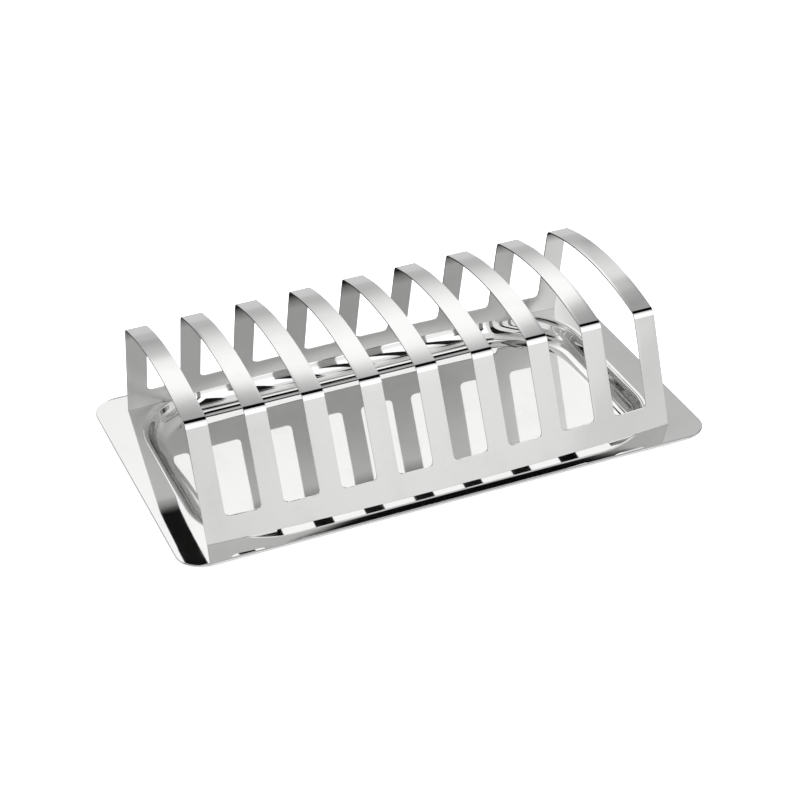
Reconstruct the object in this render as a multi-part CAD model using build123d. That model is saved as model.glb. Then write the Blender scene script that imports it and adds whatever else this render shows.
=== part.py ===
"""Toast rack for eight slices: a folded sheet rack that lifts off a pressed steel tray.

Millimetres, +Z up, X along the rack, front towards -Y, origin at the middle of the tray's underside.
"""
from build123d import *
from math import atan2, cos, radians, sin, sqrt
import os

# Rack: one sheet, slotted and folded over
HOOPS = 9
PITCH = 24.0                    # from hoop to hoop
HOOP_WIDTH = 9.0
RACK_SHEET = 0.7                # sheet thickness
FOOT_HALF_DEPTH = 56.0          # outer face of a side wall where it stands on the tray, at the ends
WALL_BOW = 3.6                  # how much further out the feet are in the middle
SHOULDER_HALF_DEPTH = 41.9      # sharp corner between the side wall and the arch
SHOULDER_RISE = 47.2            # above the flange
ARCH_RISE = 5.8                 # from the shoulder corners to the crown
BEND_RADIUS = 4.0               # outer radius of the shoulder bend
RAIL_HEIGHT = 9.3               # plain strip below the slots
SLOT_CORNER = 2.0               # rounding at the foot of each slot
JOINT_RISE = 0.5                # rails and hoops are divided this far above the strip
BOW_STATIONS = 5                # sections that the bowed walls are lofted through

# Locating tabs under the side walls, which drop inside the rim of the well
TAB_DROP = 1.8
TAB_OUTER_ROOT = 3.5 * PITCH    # along X from the middle
TAB_OUTER_TIP = 78.5
TAB_INNER_TIP = 73.0
TAB_INNER_ROOT = 3 * PITCH

# Tray: one pressed sheet
TRAY_SHEET = 0.7
FLANGE_LENGTH = 228.0
FLANGE_DEPTH = 138.0
FLANGE_CORNER = 11.5
FLANGE_EDGE = 0.3               # rounding of the cut edge
RIM_LENGTH = 202.0              # outline where the flange turns down into the well
RIM_DEPTH = 127.6
RIM_CORNER = 36.0
WELL_DEPTH = 8.7
SIDE_ANGLE = 70.0               # degrees from level
RIM_ROLL = 3.0                  # radius at the top of the well's side
FLOOR_ROLL = 8.0                # radius at its foot

# Worked out
GAP = PITCH - HOOP_WIDTH
SLOTS = HOOPS - 1
RACK_HALF_LENGTH = (SLOTS * PITCH + HOOP_WIDTH) / 2
FLANGE_TOP = WELL_DEPTH + TRAY_SHEET
ARCH_RADIUS = (SHOULDER_HALF_DEPTH**2 + ARCH_RISE**2) / (2 * ARCH_RISE)
ARCH_CENTRE = SHOULDER_RISE + ARCH_RISE - ARCH_RADIUS
WINDOW_FLOOR = FLANGE_TOP + RAIL_HEIGHT
DIVIDE = WINDOW_FLOOR + JOINT_RISE
REACH = 200.0                   # longer than the object, for cutting tools


def slab(bottom, top):
    """A block wider than the object between two heights."""
    return Pos(0, 0, (bottom + top) / 2) * Box(2 * REACH, 2 * REACH, top - bottom)


def foot_half_depth(x):
    """Outer face of the side wall at flange height; the wall bows outwards in the middle."""
    return FOOT_HALF_DEPTH + WALL_BOW * (1 - (x / RACK_HALF_LENGTH) ** 2)


def arch_block_section(x, inset):
    """Section of the space below the folded sheet's outer skin at x, moved inwards by inset."""
    foot = foot_half_depth(x)
    lean = atan2(foot - SHOULDER_HALF_DEPTH, SHOULDER_RISE)
    up = (-sin(lean), cos(lean))
    start = (foot - inset * cos(lean), -inset * sin(lean))
    radius = ARCH_RADIUS - inset
    from_centre = (start[0], start[1] - ARCH_CENTRE)
    along = from_centre[0] * up[0] + from_centre[1] * up[1]
    outside = from_centre[0] ** 2 + from_centre[1] ** 2 - radius**2
    climb = -along + sqrt(along**2 - outside)
    corner = (start[0] + climb * up[0], start[1] + climb * up[1])
    drop = (-TAB_DROP - start[1]) / up[1]
    hem = (start[0] + drop * up[0], -TAB_DROP)
    crown = (0, ARCH_CENTRE + radius)
    left = Line((-hem[0], hem[1]), (-corner[0], corner[1]))
    arch = ThreePointArc((-corner[0], corner[1]), crown, corner)
    right = Polyline(corner, hem, (-hem[0], hem[1]))
    face = make_face(left + arch + right)
    shoulders = face.vertices().sort_by(Axis.Y)[-2:]
    face = fillet(shoulders, BEND_RADIUS - inset)
    return Plane.YZ.offset(x) * Pos(0, FLANGE_TOP) * face


def arch_block(inset):
    """Solid under the folded sheet's outer skin, lofted so that the walls bow."""
    step = 2 * RACK_HALF_LENGTH / (BOW_STATIONS - 1)
    stations = [i * step - RACK_HALF_LENGTH for i in range(BOW_STATIONS)]
    return loft([arch_block_section(x, inset) for x in stations])


def slot_cutters():
    """One cutter for each toast slot: up one wall, over the top and down the other."""
    height = 2 * REACH
    outline = RectangleRounded(GAP, height, SLOT_CORNER)
    cutter = extrude(Plane.XZ * Pos(0, WINDOW_FLOOR + height / 2) * outline, REACH, both=True)
    return [Pos((i - (SLOTS - 1) / 2) * PITCH, 0, 0) * cutter for i in range(SLOTS)]


def hem_cutter():
    """Cutter that trims the walls' hem level with the flange and leaves the four tabs."""
    trim = slab(FLANGE_TOP - 2 * TAB_DROP, FLANGE_TOP)
    for side in (-1, 1):
        tab = Polyline(
            (side * TAB_OUTER_ROOT, FLANGE_TOP),
            (side * TAB_OUTER_TIP, FLANGE_TOP - TAB_DROP),
            (side * TAB_INNER_TIP, FLANGE_TOP - TAB_DROP),
            (side * TAB_INNER_ROOT, FLANGE_TOP),
            close=True,
        )
        trim -= extrude(Plane.XZ * make_face(tab), REACH, both=True)
    return trim


def folded_rack():
    """The whole rack as the sheet is folded."""
    rack = arch_block(0) - arch_block(RACK_SHEET)
    rack -= hem_cutter()
    for cutter in slot_cutters():
        rack -= cutter
    return rack


def rack_pieces():
    """The rack divided into its two rails and its hoops, which meet face to face."""
    rack = folded_rack()
    rails = (rack & slab(0, DIVIDE)).solids().sort_by(Axis.Y)
    hoops = (rack & slab(DIVIDE, REACH)).solids().sort_by(Axis.X)
    pieces = {"front_rail": rails[0], "back_rail": rails[-1]}
    for number, hoop in enumerate(hoops, start=1):
        pieces[f"hoop_{number}"] = hoop
    return pieces


def side_profile():
    """Section of the well's side, drawn from the rim at (0, 0) towards -X, and the side's width."""
    angle = radians(SIDE_ANGLE)
    rolls = RIM_ROLL + FLOOR_ROLL
    straight = (WELL_DEPTH - rolls * (1 - cos(angle))) / sin(angle)
    width = rolls * sin(angle) + straight * cos(angle)

    def skin(drop):
        """Upper skin, or the lower one when drop is the sheet's thickness."""
        top, foot = RIM_ROLL - drop, FLOOR_ROLL + drop

        def on_rim(turn):
            return (-top * sin(turn), top * cos(turn) - RIM_ROLL)

        def on_floor(turn):
            return (foot * sin(turn) - width, FLOOR_ROLL - WELL_DEPTH - foot * cos(turn))

        roll_over = ThreePointArc(on_rim(0), on_rim(angle / 2), on_rim(angle))
        side = Line(on_rim(angle), on_floor(angle))
        roll_out = ThreePointArc(on_floor(angle), on_floor(angle / 2), on_floor(0))
        return roll_over + side + roll_out

    rim_end = Line((0, 0), (0, -TRAY_SHEET))
    floor_end = Line((-width, -WELL_DEPTH), (-width, -WELL_DEPTH - TRAY_SHEET))
    return make_face(skin(0) + skin(TRAY_SHEET) + rim_end + floor_end), width


def well_side(profile):
    """The well's side: turned corners and straight runs around the rim's outline."""
    across = RIM_LENGTH / 2 - RIM_CORNER
    along = RIM_DEPTH / 2 - RIM_CORNER
    corner = revolve(Plane.XZ * Pos(RIM_CORNER) * profile, axis=Axis.Z, revolution_arc=90)
    centres = [(across, along), (-across, along), (-across, -along), (across, -along)]
    side = [Pos(x, y, 0) * Rot(0, 0, 90 * turn) * corner for turn, (x, y) in enumerate(centres)]
    for turn, (offset, half_run) in enumerate([(RIM_LENGTH / 2, along), (RIM_DEPTH / 2, across)] * 2):
        run = extrude(Plane.XZ * Pos(offset) * profile, half_run, both=True)
        side.append(Rot(0, 0, 90 * turn) * run)
    return [Pos(0, 0, FLANGE_TOP) * part for part in side]


def tray():
    """Flat flange, rolled well side and floor, pressed from one sheet."""
    profile, width = side_profile()
    rim = RectangleRounded(RIM_LENGTH, RIM_DEPTH, RIM_CORNER)
    flange = RectangleRounded(FLANGE_LENGTH, FLANGE_DEPTH, FLANGE_CORNER)
    plate = extrude(flange, TRAY_SHEET)
    plate = fillet(plate.edges().filter_by(Axis.Z, reverse=True), FLANGE_EDGE)
    plate -= extrude(rim, TRAY_SHEET)
    floor_outline = RectangleRounded(RIM_LENGTH - 2 * width, RIM_DEPTH - 2 * width, RIM_CORNER - width)
    floor = extrude(floor_outline, TRAY_SHEET)
    pressed = Pos(0, 0, WELL_DEPTH) * plate + floor
    for part in well_side(profile):
        pressed += part
    return pressed


def main():
    """Write one STEP file for each node."""
    os.makedirs("parts", exist_ok=True)
    nodes = {"tray": tray(), **rack_pieces()}
    for name, shape in nodes.items():
        export_step(shape, f"parts/{name}.step")


main()
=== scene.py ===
"""Polished toast rack: the folded rack, its pressed tray and a small white studio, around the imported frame.

Metres, +Z up, X along the rack, front towards -Y, as the frame has it.
"""
from math import atan2, cos, pi, radians, sin, sqrt

import bpy
from mathutils import Matrix, Vector


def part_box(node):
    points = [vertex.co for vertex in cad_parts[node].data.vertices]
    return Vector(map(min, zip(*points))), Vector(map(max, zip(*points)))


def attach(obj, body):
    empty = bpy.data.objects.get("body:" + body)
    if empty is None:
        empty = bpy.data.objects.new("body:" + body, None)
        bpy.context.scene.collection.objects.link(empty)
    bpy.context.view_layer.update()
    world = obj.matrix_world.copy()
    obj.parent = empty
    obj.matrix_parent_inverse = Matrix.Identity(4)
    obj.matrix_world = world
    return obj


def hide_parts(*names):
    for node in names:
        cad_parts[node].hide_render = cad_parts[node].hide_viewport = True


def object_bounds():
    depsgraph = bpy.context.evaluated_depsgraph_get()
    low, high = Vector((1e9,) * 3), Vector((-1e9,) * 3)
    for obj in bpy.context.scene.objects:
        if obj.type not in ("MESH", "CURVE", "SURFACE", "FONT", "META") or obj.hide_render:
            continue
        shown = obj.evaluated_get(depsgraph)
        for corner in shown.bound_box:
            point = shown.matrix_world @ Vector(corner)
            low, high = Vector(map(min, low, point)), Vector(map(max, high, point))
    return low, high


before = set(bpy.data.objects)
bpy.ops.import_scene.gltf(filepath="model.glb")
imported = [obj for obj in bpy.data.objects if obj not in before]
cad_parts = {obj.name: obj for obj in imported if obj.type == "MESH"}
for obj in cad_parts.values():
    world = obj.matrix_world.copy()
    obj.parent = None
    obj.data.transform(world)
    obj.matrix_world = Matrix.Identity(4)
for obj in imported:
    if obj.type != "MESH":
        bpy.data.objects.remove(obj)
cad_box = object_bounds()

bl_info = {
    "name": "Toast Rack",
    "version": (1, 0, 0),
    "blender": (4, 5, 0),
    "location": "View3D > Sidebar > Toast Rack",
    "description": "Builds a polished folded-steel toast rack on its tray, in a white studio",
    "category": "Object",
}

MM = 0.001
# Point attributes: the rack's inner face, and where its painted dark reflection goes
INSIDE, PAINTED_DARK = "inside", "under"
HOOP_NODES = sorted(
    (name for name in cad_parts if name.startswith("hoop_")), key=lambda name: int(name.split("_")[1])
)
RAIL_NODES = ["front_rail", "back_rail"]
MIDDLE_HOOP = HOOP_NODES[len(HOOP_NODES) // 2]


# ---------------------------------------------------------------- sizes


def hoop_pitch():
    """Distance from the middle hoop to the next one."""
    low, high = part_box(MIDDLE_HOOP)
    next_low, next_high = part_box(HOOP_NODES[len(HOOP_NODES) // 2 + 1])
    return (next_low[0] + next_high[0] - low[0] - high[0]) / 2


RACK_HALF_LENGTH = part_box("front_rail")[1][0]
CROWN_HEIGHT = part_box(MIDDLE_HOOP)[1][2]
FLANGE_HALF_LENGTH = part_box("tray")[1][0]
FLANGE_HALF_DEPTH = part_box("tray")[1][1]
FLANGE_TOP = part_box("tray")[1][2]
MIDDLE_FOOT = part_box("back_rail")[1][1]


def length(name, description, default):
    """A size property in metres."""
    return bpy.props.FloatProperty(
        name=name, description=description, default=default, min=0.0, precision=5, unit="LENGTH"
    )


class RackSizes(bpy.types.PropertyGroup):
    """Sizes of the folded rack."""

    hoop_width: length("Hoop width", "Width of each flat hoop and leg", 9.0 * MM)
    sheet: length("Sheet", "Thickness of the rack's sheet", 0.7 * MM)
    end_foot: length("Foot at the ends", "Half the depth over the feet at the rack's ends", 56.0 * MM)
    shoulder: length("Shoulder", "Half the depth over the sharp corners of the shoulders", 41.9 * MM)
    arch_rise: length("Arch rise", "Rise of the hoops from the shoulders to the crown", 5.8 * MM)
    bend: length("Bend radius", "Outer radius of the shoulder bend", 4.0 * MM)
    rail: length("Rail height", "Height of the plain strip below the slots", 9.3 * MM)
    slot_corner: length("Slot corner", "Rounding at the foot of each slot", 2.0 * MM)
    tab_drop: length("Tab drop", "How far the locating tabs reach below the hem", 1.8 * MM)
    tab_inner: length("Tab inner tip", "Distance of a tab's inner tip from the middle", 73.0 * MM)
    tab_outer: length("Tab outer tip", "Distance of a tab's outer tip from the middle", 78.5 * MM)
    edge: length("Cut edge", "Rounding of the sheet's cut edges", 0.14 * MM)


class TraySizes(bpy.types.PropertyGroup):
    """Sizes of the pressed tray."""

    sheet: length("Sheet", "Thickness of the tray's sheet", 0.7 * MM)
    flange_corner: length("Flange corner", "Corner radius of the flange", 11.5 * MM)
    rim_half_length: length("Rim half length", "Half the length of the well's rim", 101.0 * MM)
    rim_half_depth: length("Rim half depth", "Half the depth of the well's rim", 63.8 * MM)
    rim_corner: length("Rim corner", "Corner radius of the well's rim", 36.0 * MM)
    rim_roll: length("Rim roll", "Radius at the top of the well's side", 3.0 * MM)
    floor_roll: length("Floor roll", "Radius at the foot of the well's side", 8.0 * MM)
    side_angle: bpy.props.FloatProperty(
        name="Side angle", description="Slope of the well's side from level", default=radians(70),
        subtype="ANGLE",
    )
    edge: length("Cut edge", "Rounding of the flange's cut edge", 0.32 * MM)
    droop: bpy.props.FloatProperty(
        name="Droop", description="How far the flange's two ends fall away from level",
        default=radians(3.0), subtype="ANGLE",
    )


class SteelFinish(bpy.types.PropertyGroup):
    """Polished stainless steel."""

    steel: bpy.props.FloatVectorProperty(
        name="Steel", description="Reflectance of the clean steel", subtype="COLOR", size=3,
        default=(0.645, 0.645, 0.640), min=0.0, max=1.0,
    )
    handled: bpy.props.FloatVectorProperty(
        name="Handled steel", description="Reflectance where the polish is dulled by handling",
        subtype="COLOR", size=3, default=(0.600, 0.600, 0.592), min=0.0, max=1.0,
    )
    polish: bpy.props.FloatProperty(
        name="Polish", description="Roughness of the clean steel", default=0.022, min=0.0, max=1.0
    )
    smudge: bpy.props.FloatProperty(
        name="Smudge", description="Roughness added in the dull patches", default=0.03, min=0.0, max=1.0
    )
    inside: bpy.props.FloatVectorProperty(
        name="Inside", description="Reflectance of the rack's unpolished inner face", subtype="COLOR",
        size=3, default=(0.94, 0.94, 0.93), min=0.0, max=1.0,
    )
    # Painted dark reflection: a near-black colour on the hoops' undersides and inside some back shoulders,
    # whose steel is as polished as the rest
    under: bpy.props.FloatVectorProperty(
        name="Under the hoops", description="Reflectance of the hoops' undersides", subtype="COLOR", size=3,
        default=(0.035, 0.035, 0.035), min=0.0, max=1.0,
    )
    # Painted shade: the tray's turned long edges are darkened in colour, on top of their turned normals
    painted_lip_shade: bpy.props.FloatVectorProperty(
        name="Lip", description="Reflectance of the tray's turned long edges", subtype="COLOR", size=3,
        default=(0.38, 0.38, 0.375), min=0.0, max=1.0,
    )
    satin: bpy.props.FloatProperty(
        name="Satin", description="Roughness of the rack's inner face", default=0.36, min=0.0, max=1.0
    )
    ripple: bpy.props.FloatProperty(
        name="Ripple", description="Depth of the sheet's slow unevenness", default=0.05, min=0.0, max=1.0
    )


class Studio(bpy.types.PropertyGroup):
    """Floor, light and camera."""

    azimuth: bpy.props.FloatProperty(
        name="Azimuth", description="How far round the camera stands", default=radians(-20.08),
        subtype="ANGLE",
    )
    elevation: bpy.props.FloatProperty(
        name="Elevation", description="Height of the camera above the horizon", default=radians(31.17),
        subtype="ANGLE",
    )
    roll: bpy.props.FloatProperty(
        name="Roll", description="Turn of the camera about its line of sight", default=radians(3.32),
        subtype="ANGLE",
    )
    distance: length("Distance", "From the camera to the point that it looks at", 972.7 * MM)
    lens: bpy.props.FloatProperty(name="Lens", description="Focal length in millimetres", default=103.8)
    floor_size: length("Floor size", "Side of the square floor", 12.0)
    floor_tone: bpy.props.FloatVectorProperty(
        name="Floor", description="Colour of the pale floor", subtype="COLOR", size=3,
        default=(0.95, 0.95, 0.95), min=0.0, max=1.0,
    )
    floor_glow: bpy.props.FloatProperty(
        name="Floor glow", description="Light from the lit table under the object", default=0.75, min=0.0
    )
    top_light: bpy.props.FloatProperty(
        name="Top light", description="Strength of the soft light from above", default=1.0, min=0.0
    )


# ---------------------------------------------------------------- shader expressions


class Link:
    """A node socket that can be used in Python arithmetic."""

    def __init__(self, shader, socket):
        self.shader, self.socket = shader, socket

    def _math(self, operation, *values, clamp=False):
        return self.shader.node("ShaderNodeMath", {"operation": operation, "use_clamp": clamp}, *values)

    def __add__(self, other):
        return self._math("ADD", self, other)

    __radd__ = __add__

    def __sub__(self, other):
        return self._math("SUBTRACT", self, other)

    def __rsub__(self, other):
        return self._math("SUBTRACT", other, self)

    def __mul__(self, other):
        return self._math("MULTIPLY", self, other)

    __rmul__ = __mul__

    def __truediv__(self, other):
        return self._math("DIVIDE", self, other)

    def __rtruediv__(self, other):
        return self._math("DIVIDE", other, self)

    def __pow__(self, other):
        return self._math("POWER", self, other)

    def clamp(self):
        """Held between 0 and 1."""
        return self._math("ADD", self, 0.0, clamp=True)

    def smooth(self, low, high):
        """0 below low, 1 above high, and eased between them."""
        return self.shader.node(
            "ShaderNodeMapRange", {"interpolation_type": "SMOOTHSTEP"}, self, low, high, 0.0, 1.0
        )

    def band(self, rise, fall):
        """1 between two edges, each the pair of values that it is eased over."""
        return self.smooth(*rise) * (1 - self.smooth(*fall))


class Shader:
    """Builds a node tree from expressions."""

    def __init__(self, tree):
        self.tree = tree
        tree.nodes.clear()

    def node(self, kind, settings=None, *values, output=0, **named):
        """Adds a node, makes its settings, then fills its sockets in order or by name."""
        made = self.tree.nodes.new(kind)
        for key, value in (settings or {}).items():
            if key == "stops":
                self._set_stops(made.color_ramp.elements, value)
            else:
                setattr(made, key, value)
        for place, value in [*enumerate(values), *((k.replace("_", " "), v) for k, v in named.items())]:
            self._fill(made.inputs[place], value)
        return Link(self, made.outputs[output] if made.outputs else None)

    def split(self, vector):
        """The three parts of a vector."""
        made = self.tree.nodes.new("ShaderNodeSeparateXYZ")
        self._fill(made.inputs[0], vector)
        return [Link(self, part) for part in made.outputs]

    def mix(self, factor, first, second):
        """Colour between first and second."""
        made = self.tree.nodes.new("ShaderNodeMix")
        made.data_type = "RGBA"
        sockets = [s for s in made.inputs if s.type == "RGBA"]
        self._fill(made.inputs["Factor"], factor)
        self._fill(sockets[0], first)
        self._fill(sockets[1], second)
        return Link(self, next(s for s in made.outputs if s.type == "RGBA"))

    def _fill(self, socket, value):
        if isinstance(value, Link):
            self.tree.links.new(value.socket, socket)
        elif hasattr(value, "__len__") and socket.type == "RGBA" and len(value) == 3:
            socket.default_value = (*value, 1.0)
        else:
            socket.default_value = value

    @staticmethod
    def _set_stops(elements, stops):
        while len(elements) < len(stops):
            elements.new(1.0)
        for element, (place, tone) in zip(elements, stops):
            element.position = place
            element.color = (tone, tone, tone, 1.0)


def new_shader(data):
    """Turns nodes on for a material or world and returns its empty tree as a Shader."""
    data.use_nodes = True
    return Shader(data.node_tree)


# ---------------------------------------------------------------- polished steel

DROOP_ZONE = (70 * MM, 100 * MM)
LIP_WIDTH = 1.3 * MM
LIP_SLOPE = 4.0


def polished_steel(name, finish, seed, droop=0.0):
    """Mirror-polished sheet: slow ripples from rolling, fine polishing lines and faint handling marks, with a
    painted dark reflection where the rack marks it.

    With a droop, in radians, the flange's two ends fall away and its long edges are turned over; those edges
    also get a painted shade.
    """
    material = bpy.data.materials.new(name)
    shader = new_shader(material)
    place = shader.node("ShaderNodeTexCoord", output=3)

    def noise(scale, detail, stretch=(1.0, 1.0, 1.0)):
        spread = shader.node("ShaderNodeMapping", {"vector_type": "TEXTURE"}, place, Scale=stretch)
        return shader.node(
            "ShaderNodeTexNoise", {"noise_dimensions": "4D"}, spread, W=seed, Scale=scale, Detail=detail
        )

    smudges = noise(38.0, 4.0).smooth(0.48, 0.72)
    mottle = noise(420.0, 3.0).smooth(0.45, 0.80)
    lines = noise(900.0, 2.0, (14.0, 1.0, 1.0))
    dull = (0.75 * smudges + 0.25 * mottle).clamp()
    inside = shader.node("ShaderNodeAttribute", {"attribute_name": INSIDE}, output=2)
    # Painted dark reflection on the hoops' undersides and inside some back shoulders, mixed over the steel's
    # colour
    under = shader.node("ShaderNodeAttribute", {"attribute_name": PAINTED_DARK}, output=2)
    roughness = finish.polish + finish.smudge * dull + 0.02 * lines + (finish.satin - finish.polish) * inside
    colour = shader.mix(dull, finish.steel, finish.handled)
    colour = shader.mix(inside, colour, finish.inside)
    colour = shader.mix(under, colour, finish.under)
    rolled = noise(22.0, 1.0)
    height = rolled + 0.003 * noise(160.0, 2.0) + 0.0004 * lines
    bump = shader.node("ShaderNodeBump", None, Strength=finish.ripple, Distance=0.002, Height=height)
    if droop:
        x, y, z = shader.split(place)
        ends = x.smooth(*DROOP_ZONE) - (0 - x).smooth(*DROOP_ZONE)
        flange = z.smooth(FLANGE_TOP - 0.03 * MM, FLANGE_TOP - 0.01 * MM)
        lip_zone = (FLANGE_HALF_DEPTH - LIP_WIDTH, FLANGE_HALF_DEPTH - LIP_WIDTH + 0.2 * MM)
        lip_behind = y.smooth(*lip_zone) * flange
        lip_in_front = (0 - y).smooth(*lip_zone) * flange
        # Painted shade along the turned long edges
        colour = shader.mix(lip_behind + lip_in_front, colour, finish.painted_lip_shade)
        turned = LIP_SLOPE * (lip_behind - lip_in_front)
        fall = shader.node("ShaderNodeCombineXYZ", None, droop * ends * flange, turned, 0.0)
        level = shader.node("ShaderNodeNewGeometry", output=1)
        sagging = shader.node("ShaderNodeVectorMath", {"operation": "ADD"}, level, fall)
        shader.tree.links.new(sagging.socket, bump.socket.node.inputs["Normal"])
    surface = shader.node(
        "ShaderNodeBsdfPrincipled", None, Base_Color=colour, Metallic=1.0, Roughness=roughness, Normal=bump
    )
    shader.node("ShaderNodeOutputMaterial", None, surface)
    return material


# ---------------------------------------------------------------- meshes


def mesh_object(name, points, faces, material, edge):
    """A smooth closed mesh whose cut edges are rounded."""
    mesh = bpy.data.meshes.new(name)
    mesh.from_pydata(points, [], faces)
    mesh.validate()
    mesh.shade_smooth()
    mesh.materials.append(material)
    made = bpy.data.objects.new(name, mesh)
    bpy.context.scene.collection.objects.link(made)
    rounding = made.modifiers.new("Cut edges", "BEVEL")
    rounding.width, rounding.segments = edge, 3
    rounding.limit_method, rounding.angle_limit = "ANGLE", radians(50)
    rounding.use_clamp_overlap = False
    shading = made.modifiers.new("Flat faces stay flat", "WEIGHTED_NORMAL")
    shading.keep_sharp = True
    return made


class Fold:
    """Where a point of the flat pattern goes when the sheet is folded into the rack."""

    def __init__(self, sizes):
        self.sizes = sizes
        self.rise = CROWN_HEIGHT - FLANGE_TOP - sizes.arch_rise
        self.radius = (sizes.shoulder**2 + sizes.arch_rise**2) / (2 * sizes.arch_rise)
        self.centre = self.rise + sizes.arch_rise - self.radius
        self.bow = MIDDLE_FOOT - sizes.end_foot

    def foot(self, x):
        """Outer face of the wall at the hem."""
        return self.sizes.end_foot + self.bow * (1 - (x / RACK_HALF_LENGTH) ** 2)

    def lean(self, x):
        """Angle of the wall from upright."""
        return atan2(self.foot(x) - self.sizes.shoulder, self.rise)

    def bend_axis(self, x):
        """Centre of the shoulder bend, and the angle where it runs into the arch."""
        lean, bend = self.lean(x), self.sizes.bend
        up = (-sin(lean), cos(lean))
        start = (self.foot(x) - bend * cos(lean), -bend * sin(lean) - self.centre)
        along = start[0] * up[0] + start[1] * up[1]
        outside = start[0] ** 2 + start[1] ** 2 - (self.radius - bend) ** 2
        climb = sqrt(along**2 - outside) - along
        y, z = start[0] + climb * up[0], start[1] + climb * up[1]
        return (y, z + self.centre), atan2(z, y)

    def wall(self, x, height, depth):
        """Point of the wall at a height above the flange, depth inside the outer skin."""
        lean = self.lean(x)
        y = self.foot(x) - depth / cos(lean) - height * sin(lean) / cos(lean)
        return y, height

    def leg(self, x, share, depth):
        """Point of a leg between the rounded foot of the slot (0) and the shoulder bend (1)."""
        axis, _ = self.bend_axis(x)
        low = self.sizes.rail + self.sizes.slot_corner
        high = axis[1] + (self.sizes.bend - depth) * sin(self.lean(x))
        return self.wall(x, low + share * (high - low), depth)

    def shoulder(self, x, share, depth):
        """Point of the shoulder bend."""
        axis, arch_angle = self.bend_axis(x)
        lean = self.lean(x)
        turn = lean + share * (arch_angle - lean)
        reach = self.sizes.bend - depth
        return axis[0] + reach * cos(turn), axis[1] + reach * sin(turn)

    def arch(self, x, share, depth):
        """Point of the arch between the bend (0) and the crown (1)."""
        _, arch_angle = self.bend_axis(x)
        turn = arch_angle + share * (pi / 2 - arch_angle)
        reach = self.radius - depth
        return reach * cos(turn), self.centre + reach * sin(turn)

    def point(self, x, row, side, depth):
        """Point of the rack: row is (zone, value) and side is -1 in front or 1 behind."""
        y, z = getattr(self, row[0])(x, row[1], depth)
        return x, side * y, z + FLANGE_TOP


class Pattern:
    """The flat pattern of the rack: corners that are shared, and the faces between them."""

    CROWN = ("arch", 1.0)

    def __init__(self):
        self.corners, self.faces, self.known = [], [], {}

    def corner(self, x, row, side):
        """Number of the corner at x in this row."""
        key = (round(x / MM, 4), row, 0 if row == self.CROWN else side)
        if key not in self.known:
            self.known[key] = len(self.corners)
            self.corners.append((x, row, side))
        return self.known[key]

    def strip(self, lines, side):
        """Faces between the rows of a strip, each row a (row, [x, x, ...])."""
        for (low_row, low_xs), (high_row, high_xs) in zip(lines, lines[1:]):
            low = [self.corner(x, low_row, side) for x in low_xs]
            high = [self.corner(x, high_row, side) for x in high_xs]
            for a, b, c, d in zip(low, low[1:], high[1:], high):
                self.faces.append((a, b, c, d) if side < 0 else (d, c, b, a))

    def solid(self, fold, sheet):
        """Points and faces of the folded sheet, with both skins and its cut edges."""
        outer = [fold.point(*corner, 0.0) for corner in self.corners]
        inner = [fold.point(*corner, sheet) for corner in self.corners]
        step = len(outer)
        edges = {(a, b) for face in self.faces for a, b in zip(face, face[1:] + face[:1])}
        cut = [(b, a, a + step, b + step) for a, b in edges if (b, a) not in edges]
        back = [tuple(i + step for i in reversed(face)) for face in self.faces]
        return outer + inner, self.faces + back + sorted(cut)


HOOP_COLUMNS = 6
RAIL_ROWS = 3
FILLET_TURNS = [radians(turn) for turn in (0, 30, 45, 60, 75, 90)]
LEG_ROWS = 8
BEND_STEPS = 10
ARCH_STEPS = 22


def hoop_centres():
    """Where the hoops stand along the rack."""
    pitch = hoop_pitch()
    return [(i - (len(HOOP_NODES) - 1) / 2) * pitch for i in range(len(HOOP_NODES))]


def hoop_rows(sizes):
    """Rows of a hoop from the strip's top to the crown, each with how much its slot side flares."""
    rows = []
    for turn in FILLET_TURNS:
        height = sizes.rail + sizes.slot_corner * (1 - cos(turn))
        rows.append((("wall", height), sizes.slot_corner * (1 - sin(turn))))
    rows[0] = (("wall", sizes.rail), sizes.slot_corner)
    rows += [(("leg", step / LEG_ROWS), 0.0) for step in range(1, LEG_ROWS)]
    rows += [(("shoulder", step / BEND_STEPS), 0.0) for step in range(BEND_STEPS)]
    rows += [(("arch", step / ARCH_STEPS), 0.0) for step in range(ARCH_STEPS + 1)]
    return rows


def hoop_columns(sizes, number, flare):
    """Where the lines along a hoop lie in a row that flares by this much at its slots."""
    centre, last = hoop_centres()[number], len(HOOP_NODES) - 1
    left = centre - sizes.hoop_width / 2 - (flare if number > 0 else 0.0)
    right = centre + sizes.hoop_width / 2 + (flare if number < last else 0.0)
    half = HOOP_COLUMNS // 2
    lines = [left + (centre - left) * i / half for i in range(half)]
    return lines + [centre + (right - centre) * i / half for i in range(half + 1)]


def rail_columns(sizes):
    """Where the upright lines of a rail lie: through every hoop, and the middle of every slot."""
    lines = []
    for number in range(len(HOOP_NODES)):
        hoop = hoop_columns(sizes, number, sizes.slot_corner)
        if lines:
            lines += [lines[-1] + (hoop[0] - lines[-1]) * i / 4 for i in range(1, 4)]
        lines += hoop
    return lines


def add_tabs(pattern, sizes, columns, side):
    """The locating tabs: two under each rail, from under a hoop to the middle of the next slot."""
    pitch = hoop_pitch()
    inner, outer = 3 * pitch, 3.5 * pitch
    slack = 1e-6
    for end in (-1, 1):
        root = [x for x in columns if inner - slack <= end * x <= outer + slack]
        shares = [(end * x - inner) / (outer - inner) for x in root]
        tip = [end * (sizes.tab_inner + share * (sizes.tab_outer - sizes.tab_inner)) for share in shares]
        middle = [(a + b) / 2 for a, b in zip(root, tip)]
        heights = (-sizes.tab_drop, -sizes.tab_drop / 2, 0.0)
        rows = [(("wall", height), line) for height, line in zip(heights, (tip, middle, root))]
        pattern.strip(rows, side)


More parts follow.
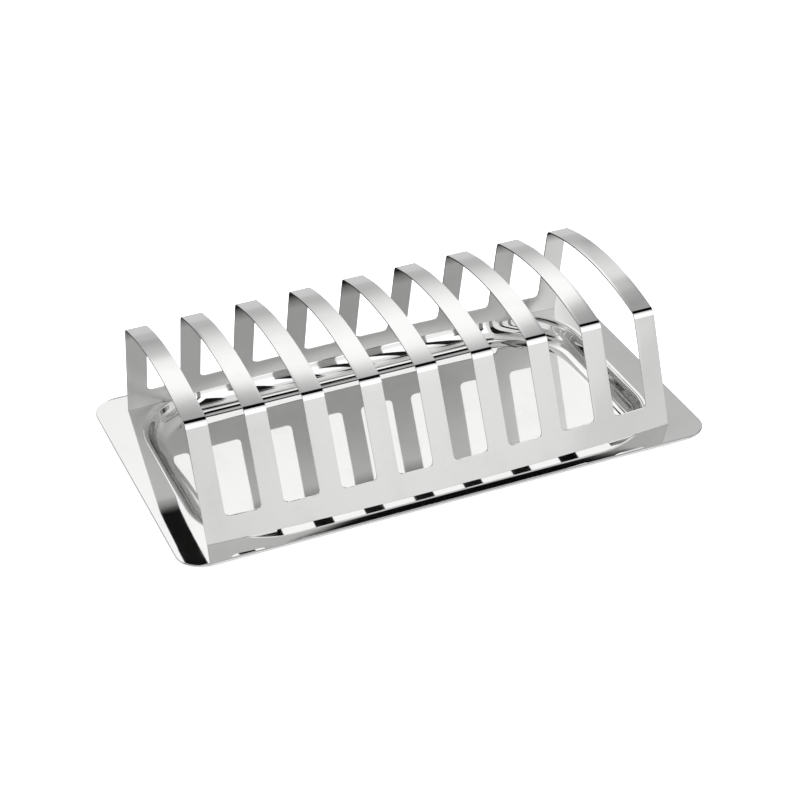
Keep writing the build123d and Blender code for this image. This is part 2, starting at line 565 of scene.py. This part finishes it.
def painted_dark_under(x, row, side):
    """How much painted dark reflection the inner skin gets: under the hoops, and inside the back shoulders of
    four middle hoops.
    """
    zone, share = row
    pitch = hoop_pitch()
    shaded = side > 0 and -2.5 * pitch < x < 1.5 * pitch
    if zone == "arch":
        return 1.0
    if zone == "shoulder":
        return 1.0 if shaded else 0.55 + 0.45 * share
    if zone == "leg" and shaded:
        return max(0.0, 8.0 * share - 6.6)
    return 0.0


def build_rack(sizes, finish):
    """The whole rack as one folded sheet."""
    pattern = Pattern()
    columns = rail_columns(sizes)
    rows = hoop_rows(sizes)
    for side in (-1, 1):
        heights = [sizes.rail * i / RAIL_ROWS for i in range(RAIL_ROWS)] + [sizes.rail]
        pattern.strip([(("wall", height), columns) for height in heights], side)
        add_tabs(pattern, sizes, columns, side)
        for number in range(len(HOOP_NODES)):
            pattern.strip([(row, hoop_columns(sizes, number, flare)) for row, flare in rows], side)
    points, faces = pattern.solid(Fold(sizes), sizes.sheet)
    steel = polished_steel("rack_polished_steel", finish, seed=3.0)
    rack = mesh_object("folded_rack", points, faces, steel, sizes.edge)
    # The inner skin carries the painted dark reflection as a point attribute
    under = [painted_dark_under(*corner) for corner in pattern.corners]
    outside = [0.0] * len(under)
    for name, inner in ((INSIDE, [1.0] * len(under)), (PAINTED_DARK, under)):
        rack.data.attributes.new(name, "FLOAT", "POINT").data.foreach_set("value", outside + inner)
    return rack


CORNER_STEPS = 18
LONG_STEPS = 20
SHORT_STEPS = 12
ROLL_STEPS = 12


def outline(half_length, half_depth, corner):
    """Points round a rectangle with rounded corners, always the same number of them."""
    across, along = half_length - corner, half_depth - corner
    points = []
    middles = [(across, along), (-across, along), (-across, -along), (across, -along)]
    for turn, (x, y) in enumerate(middles):
        next_x, next_y = middles[(turn + 1) % 4]
        for step in range(CORNER_STEPS + 1):
            angle = (turn + step / CORNER_STEPS) * pi / 2
            points.append((x + corner * cos(angle), y + corner * sin(angle)))
        steps = LONG_STEPS if turn % 2 == 0 else SHORT_STEPS
        away = (corner * cos((turn + 1) * pi / 2), corner * sin((turn + 1) * pi / 2))
        for step in range(1, steps):
            share = step / steps
            points.append((x + (next_x - x) * share + away[0], y + (next_y - y) * share + away[1]))
    return points


def well_profile(sizes, depth):
    """The well's side as (distance inside the rim, height over the flange), depth below the upper skin."""
    angle, drop = sizes.side_angle, FLANGE_TOP - sizes.sheet
    rolls = sizes.rim_roll + sizes.floor_roll
    straight = (drop - rolls * (1 - cos(angle))) / sin(angle)
    width = rolls * sin(angle) + straight * cos(angle)
    top, foot = sizes.rim_roll - depth, sizes.floor_roll + depth
    turns = [angle * step / ROLL_STEPS for step in range(ROLL_STEPS + 1)]
    rolled_over = [(top * sin(t), top * cos(t) - sizes.rim_roll) for t in turns]
    rolled_out = [(width - foot * sin(t), sizes.floor_roll - drop - foot * cos(t)) for t in reversed(turns)]
    return rolled_over + rolled_out, width


def tray_rings(sizes, depth):
    """Rings of one skin of the tray, from the flange's edge to the middle of the well."""
    support = 0.3 * MM
    level = FLANGE_TOP - depth
    rings = [(outline(FLANGE_HALF_LENGTH, FLANGE_HALF_DEPTH, sizes.flange_corner), level)]

    def ring(inset, height):
        corner = max(sizes.rim_corner - inset, 1.0 * MM)
        return outline(sizes.rim_half_length - inset, sizes.rim_half_depth - inset, corner), height

    side, width = well_profile(sizes, depth)
    rings.append(ring(-support, level))
    rings += [ring(inset, FLANGE_TOP + height) for inset, height in side]
    floor = sizes.sheet - depth
    left = sizes.rim_half_depth - width
    rings += [ring(width + share * left, floor) for share in (0.006, 0.12, 0.30, 0.50, 0.72, 0.92)]
    return rings


def build_tray(sizes, finish):
    """The pressed tray: flange, rolled side and floor, with both skins."""
    points, faces, skins = [], [], []
    for depth in (0.0, sizes.sheet):
        rings = tray_rings(sizes, depth)
        count = len(rings[0][0])
        start = len(points)
        points += [(x, y, height) for flat, height in rings for x, y in flat]
        skins.append((start, len(rings), count))
        for r in range(len(rings) - 1):
            for k in range(count):
                a, b = start + r * count + k, start + r * count + (k + 1) % count
                face = (a, b, b + count, a + count)
                faces.append(face if depth == 0.0 else face[::-1])
        middle = tuple(start + (len(rings) - 1) * count + k for k in range(count))
        faces.append(middle if depth == 0.0 else middle[::-1])
    count = skins[0][2]
    under = skins[1][0]
    faces += [((k + 1) % count, k, under + k, under + (k + 1) % count) for k in range(count)]
    steel = polished_steel("tray_polished_steel", finish, seed=11.0, droop=sizes.droop)
    return mesh_object("pressed_tray", points, faces, steel, sizes.edge)


# ---------------------------------------------------------------- studio


REFLECTANCE = 0.64


def as_light(tone):
    """Radiance that polished steel shows as this display tone."""
    linear = ((tone + 0.055) / 1.055) ** 2.4 if tone > 0.04 else tone / 12.92
    return linear / REFLECTANCE


# Tones of the studio by degrees round the X axis: 0 is the horizon behind, 90 overhead, 180 in front
STUDIO_TONES = (
    (-180, 0.83), (-172, 0.86), (-150, 0.82), (-100, 0.60), (-78, 0.20), (-65, 0.05), (-12, 0.05), (-6, 0.55),
    (0, 0.75), (7, 0.745), (9, 0.69), (14, 0.69), (19, 0.76), (26, 0.87), (34, 0.95), (40, 0.98), (50, 0.98),
    (54, 0.95), (57, 0.87), (60, 0.76), (64, 0.66), (70, 0.60), (100, 0.74), (107, 0.84), (120, 0.88),
    (128, 1.06), (167, 1.06), (171, 0.875), (176, 0.855), (180, 0.825),
)


def world_light():
    """White studio that the steel sees: soft cards behind and in front, with dark flags between them."""
    world = bpy.data.worlds.new("white_studio")
    bpy.context.scene.world = world
    shader = new_shader(world)
    x, y, z = shader.split(shader.node("ShaderNodeTexCoord"))
    over = shader.node("ShaderNodeMath", {"operation": "ARCTAN2"}, z, y) * (180 / pi)

    # The back card's upper edge slants, and most to the right
    left_slant = 5.0 * (1 - x.smooth(0.20, 0.29))
    right_slant = 14.0 * x.smooth(0.33, 0.42)
    swept = over + (left_slant + right_slant) * over.band((34.0, 46.0), (62.0, 72.0))
    stops = [((angle + 180) / 360, as_light(tone)) for angle, tone in STUDIO_TONES]
    sweep = shader.node("ShaderNodeValToRGB", {"stops": stops}, (swept + 180.0) / 360.0)

    # Black flags overhead, and a dark one low on the left
    beside = x.band((0.12, 0.17), (0.45, 0.58))
    across = x.band((-0.84, -0.74), (-0.32, -0.24))
    falling = over + left_slant
    overhead_flag = falling.smooth(67.0, 69.0) * (1 - over.smooth(104.8, 107.0)) * (beside + across)
    far_flag = x.band((-0.66, -0.60), (-0.36, -0.32))
    side_flag = far_flag * over.band((-4.0, 2.0), (46.0, 54.0)) * (1 - 0.3 * z.smooth(0.16, 0.24))

    # Away from the middle of the front card, and at both ends of the back card, the light falls off
    plain_front = (1 - beside) * over.band((112.0, 128.0), (167.0, 176.0))
    left_end = x.band((0.180, 0.188), (0.209, 0.218)) * (1 - over.smooth(25.0, 32.0))
    right_end = x.band((0.376, 0.384), (0.402, 0.412)) * (1 - over.smooth(46.0, 51.0))
    back_ends = (left_end + right_end) * over.smooth(12.0, 17.0)
    front = (0 - y).smooth(0.05, 0.35)
    right_wing = x.smooth(0.408, 0.432) * (0.45 - 0.37 * front)

    kept = (1 - 0.993 * overhead_flag) * (1 - 0.97 * side_flag) * (1 - 0.36 * plain_front)
    strength = kept * (1 - 0.26 * back_ends) * (1 - right_wing)
    light = shader.node("ShaderNodeBackground", None, sweep, strength)
    shader.node("ShaderNodeOutputWorld", None, light)


def add_floor(studio):
    """Plain pale floor just under the tray."""
    gap = 0.1 * MM
    half = studio.floor_size / 2
    points = [(-half, -half, -gap), (half, -half, -gap), (half, half, -gap), (-half, half, -gap)]
    mesh = bpy.data.meshes.new("floor")
    mesh.from_pydata(points, [], [(0, 1, 2, 3)])
    floor = bpy.data.objects.new("floor", mesh)
    floor.visible_glossy = False
    bpy.context.scene.collection.objects.link(floor)
    material = bpy.data.materials.new("pale_floor")
    shader = new_shader(material)
    surface = shader.node(
        "ShaderNodeBsdfPrincipled", None, Base_Color=studio.floor_tone, Roughness=0.9,
        Emission_Color=studio.floor_tone, Emission_Strength=studio.floor_glow,
    )
    surface.socket.node.inputs["Specular IOR Level"].default_value = 0.0
    shader.node("ShaderNodeOutputMaterial", None, surface)
    mesh.materials.append(material)


def add_top_light(studio):
    """Soft light from above that the floor sees and the steel doesn't."""
    light = bpy.data.lights.new("top_light", "SUN")
    light.energy, light.angle = studio.top_light, radians(120)
    lamp = bpy.data.objects.new("top_light", light)
    lamp.visible_glossy = False
    bpy.context.scene.collection.objects.link(lamp)


AIM_OFFSET = (4.1 * MM, 2.4 * MM, -15.7 * MM)


def add_camera(studio):
    """Camera in front and to the left, a little above."""
    low, high = cad_box
    target = (low + high) / 2 + Vector(AIM_OFFSET)
    a, e = studio.azimuth, studio.elevation
    back = Vector((sin(a) * cos(e), -cos(a) * cos(e), sin(e)))
    right = Vector((0, 0, 1)).cross(back).normalized()
    up = back.cross(right)
    turned = Matrix.Rotation(-studio.roll, 3, back)
    right, up = turned @ right, turned @ up
    data = bpy.data.cameras.new("camera")
    data.lens = studio.lens
    camera = bpy.data.objects.new("camera", data)
    camera.matrix_world = Matrix((right, up, back)).transposed().to_4x4()
    camera.location = target + back * studio.distance
    bpy.context.scene.collection.objects.link(camera)
    bpy.context.scene.camera = camera


# ---------------------------------------------------------------- add-on


class ToastRackSettings(bpy.types.PropertyGroup):
    """Everything that a user would change."""

    rack: bpy.props.PointerProperty(type=RackSizes, name="Rack", description="Sizes of the rack")
    tray: bpy.props.PointerProperty(type=TraySizes, name="Tray", description="Sizes of the tray")
    finish: bpy.props.PointerProperty(type=SteelFinish, name="Finish", description="Finish of the steel")
    studio: bpy.props.PointerProperty(type=Studio, name="Studio", description="Floor, light and camera")


class TOASTRACK_OT_rack(bpy.types.Operator):
    """Build the folded rack"""

    bl_idname = "toastrack.rack"
    bl_label = "Folded Rack"

    def execute(self, context):
        settings = context.scene.toast_rack
        rack = build_rack(settings.rack, settings.finish)
        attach(rack, "rack")
        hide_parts(*RAIL_NODES, *HOOP_NODES)
        return {"FINISHED"}


class TOASTRACK_OT_tray(bpy.types.Operator):
    """Build the pressed tray"""

    bl_idname = "toastrack.tray"
    bl_label = "Pressed Tray"

    def execute(self, context):
        settings = context.scene.toast_rack
        tray = build_tray(settings.tray, settings.finish)
        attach(tray, "tray")
        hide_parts("tray")
        return {"FINISHED"}


class TOASTRACK_OT_studio(bpy.types.Operator):
    """Set up the floor, the light and the camera"""

    bl_idname = "toastrack.studio"
    bl_label = "White Studio"

    def execute(self, context):
        studio = context.scene.toast_rack.studio
        context.scene.view_settings.view_transform = "Standard"
        world_light()
        add_floor(studio)
        add_top_light(studio)
        add_camera(studio)
        return {"FINISHED"}


OPERATORS = (TOASTRACK_OT_tray, TOASTRACK_OT_rack, TOASTRACK_OT_studio)


class TOASTRACK_PT_sidebar(bpy.types.Panel):
    """Sidebar panel that lists the pieces"""

    bl_idname = "TOASTRACK_PT_sidebar"
    bl_label = "Toast Rack"
    bl_space_type = "VIEW_3D"
    bl_region_type = "UI"
    bl_category = "Toast Rack"

    def draw(self, context):
        for operator in OPERATORS:
            self.layout.operator(operator.bl_idname)


CLASSES = (RackSizes, TraySizes, SteelFinish, Studio, ToastRackSettings, *OPERATORS, TOASTRACK_PT_sidebar)


def register():
    """Register the classes and the scene's settings."""
    for cls in CLASSES:
        bpy.utils.register_class(cls)
    bpy.types.Scene.toast_rack = bpy.props.PointerProperty(type=ToastRackSettings)


def unregister():
    """Undo register."""
    del bpy.types.Scene.toast_rack
    for cls in reversed(CLASSES):
        bpy.utils.unregister_class(cls)


def main():
    """Build everything."""
    register()
    bpy.ops.toastrack.tray()
    bpy.ops.toastrack.rack()
    bpy.ops.toastrack.studio()


if __name__ == "__main__":
    main()
